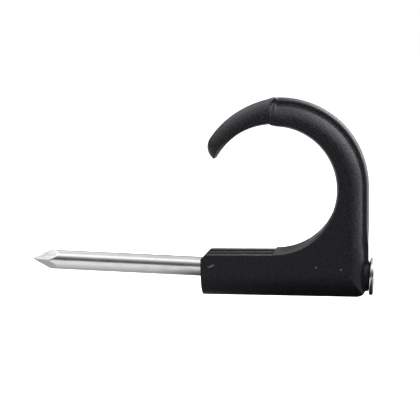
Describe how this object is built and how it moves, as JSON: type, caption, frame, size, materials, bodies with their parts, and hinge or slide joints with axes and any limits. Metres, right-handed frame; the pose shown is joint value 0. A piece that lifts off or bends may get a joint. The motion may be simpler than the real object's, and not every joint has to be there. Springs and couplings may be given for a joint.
{
  "type": "nail-in cable clip",
  "caption": "Black plastic cable clip with an open round hook over a straight foot, fixed by a plated steel nail that runs through the foot.",
  "frame": {"origin": "where the nail's axis crosses the wall face of the foot", "axes": "+X along the foot away from the wall, towards the nail's head; +Y across the width of the clip; +Z from the foot up to the hook"},
  "size_m": [0.0499, 0.008, 0.0284],
  "materials": {
    "clip_body": "black moulded polyethylene with a fine eroded texture",
    "nail": "zinc-plated drawn wire, semi-bright"
  },
  "bodies": {
    "root": {"clip_body": "clip_body", "nail": "nail"}
  },
  "joints": []
}
